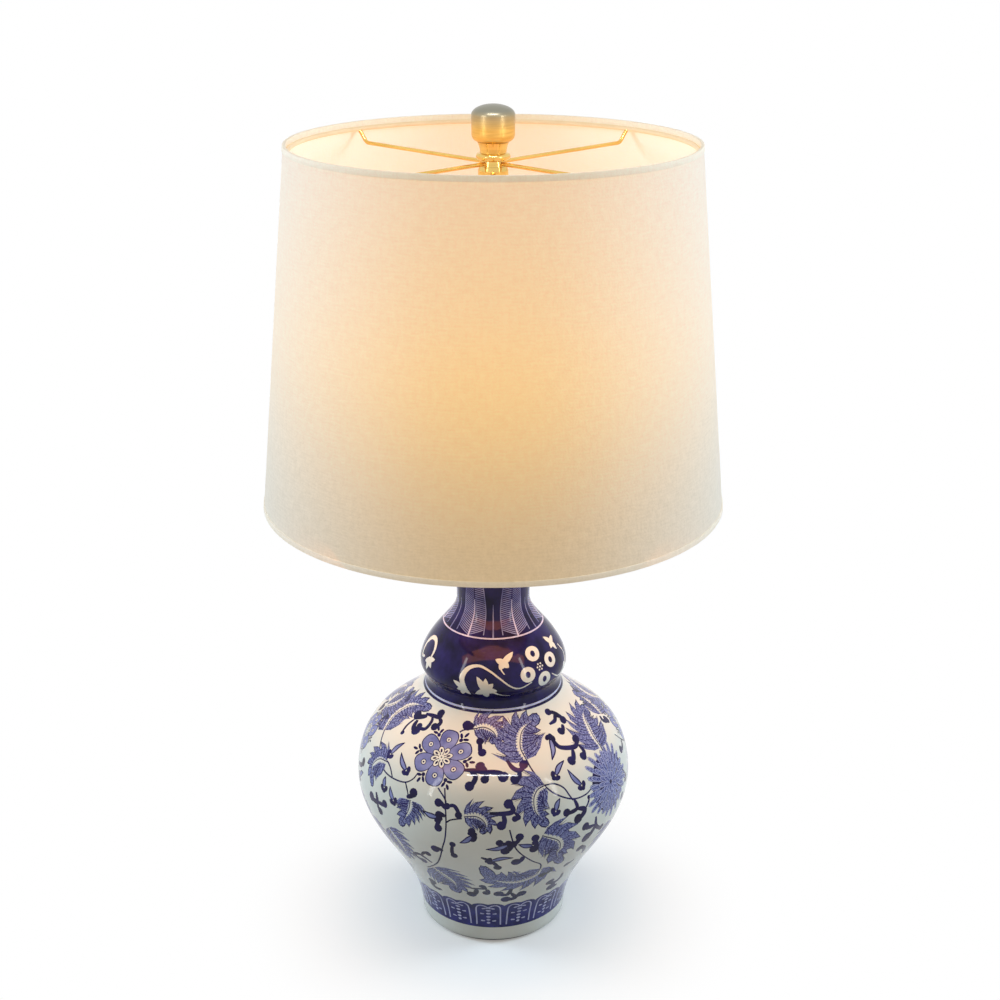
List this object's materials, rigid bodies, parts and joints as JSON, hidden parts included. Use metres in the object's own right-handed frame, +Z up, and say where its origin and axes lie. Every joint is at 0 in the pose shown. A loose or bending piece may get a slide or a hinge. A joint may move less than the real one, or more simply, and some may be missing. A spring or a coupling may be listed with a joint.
{
  "type": "ceramic table lamp",
  "caption": "Double-gourd porcelain table lamp with blue painted decoration, a harp-hung tapered fabric shade, a turn-knob socket, a screw-in bulb and a brass finial.",
  "frame": {"origin": "on the table, at the centre of the felt ring's underside", "axes": "+Z up along the lamp's axis, +Y to the back where the cord comes in, +X to the right where the switch is"},
  "size_m": [0.3573, 0.3572, 0.6743],
  "materials": {
    "porcelain": "glossy white glaze over cobalt blue painting",
    "felt": "pressed felt",
    "bushing": "satin",
    "steel": "zinc plated",
    "gasket": "matte",
    "polished_brass": "polished",
    "satin_brass": "satin",
    "socket_core": "moulded",
    "fibre": "pressed fibre",
    "knob_plastic": "moulded",
    "bulb_glass": "frosted",
    "clear_glass": "clear",
    "bulb_metal": "rolled thread",
    "black_glass": "gloss",
    "shade_cloth": "linen",
    "shade_liner": "translucent white",
    "shade_hem": "folded linen"
  },
  "bodies": {
    "base": {"ceramic_body": "porcelain", "felt_ring": "felt", "cord_bushing": "bushing", "base_washer": "steel", "lock_washer": "steel", "base_nut": "steel", "lamp_pipe": "steel", "cap_gasket": "gasket", "vase_cap": "polished_brass", "neck_spacer": "polished_brass", "harp_saddle": "polished_brass", "socket_cap": "polished_brass", "socket_core": "socket_core", "terminal_screws": "polished_brass", "socket_shell": "polished_brass", "socket_liner": "fibre", "screw_shell": "bulb_metal", "centre_contact": "polished_brass"},
    "switch": {"switch_shaft": "steel", "switch_knob": "knob_plastic"},
    "bulb_tip": {"bulb_contact": "bulb_metal"},
    "bulb": {"bulb_insulator": "black_glass", "bulb_cap": "bulb_metal", "bulb_glass": "bulb_glass", "bulb_stem": "clear_glass", "bulb_filament": "steel"},
    "harp": {"harp_loop": "polished_brass", "harp_seat": "polished_brass"},
    "front_sleeve": {"sleeve_front": "polished_brass"},
    "back_sleeve": {"sleeve_back": "polished_brass"},
    "shade": {"spider_hub": "polished_brass", "spider_arms": "polished_brass", "shade_top_ring": "polished_brass", "shade_bottom_ring": "polished_brass", "shade_liner": "shade_liner", "shade_fabric": "shade_cloth", "shade_top_hem": "shade_hem", "shade_bottom_hem": "shade_hem"},
    "finial_thread": {"finial_insert": "polished_brass"},
    "finial": {"finial_collar": "polished_brass", "finial_knob": "satin_brass"}
  },
  "joints": [
    {"name": "switch_turn", "type": "hinge", "parent": "base", "child": "switch", "pos_m": [0.02, 0, 0.401], "axis": [1, 0, 0], "continuous": true},
    {"name": "bulb_rise", "type": "slide", "parent": "base", "child": "bulb_tip", "axis": [0, 0, 1], "range_m": [0, 0.0182]},
    {"name": "bulb_turn", "type": "hinge", "parent": "bulb_tip", "child": "bulb", "pos_m": [0, 0, 0.45], "axis": [0, 0, 1], "range_deg": [0, 1800]},
    {"name": "harp_lift", "type": "slide", "parent": "base", "child": "harp", "axis": [0, 0, 1], "range_m": [0, 0.03]},
    {"name": "front_sleeve_slide", "type": "slide", "parent": "harp", "child": "front_sleeve", "axis": [0, 0, 1], "range_m": [0, 0.0135]},
    {"name": "back_sleeve_slide", "type": "slide", "parent": "harp", "child": "back_sleeve", "axis": [0, 0, 1], "range_m": [0, 0.0135]},
    {"name": "shade_swivel", "type": "hinge", "parent": "harp", "child": "shade", "pos_m": [0, 0, 0.632], "axis": [0, 0, 1], "continuous": true},
    {"name": "finial_rise", "type": "slide", "parent": "harp", "child": "finial_thread", "axis": [0, 0, 1], "range_m": [0, 0.0076]},
    {"name": "finial_turn", "type": "hinge", "parent": "finial_thread", "child": "finial", "pos_m": [0, 0, 0.65], "axis": [0, 0, 1], "range_deg": [0, 2880]}
  ],
  "couplings": [
    {"joint": "bulb_rise", "follows": "bulb_turn", "m_per_rad": 0.00057752},
    {"joint": "finial_rise", "follows": "finial_turn", "m_per_rad": 0.00014972}
  ]
}
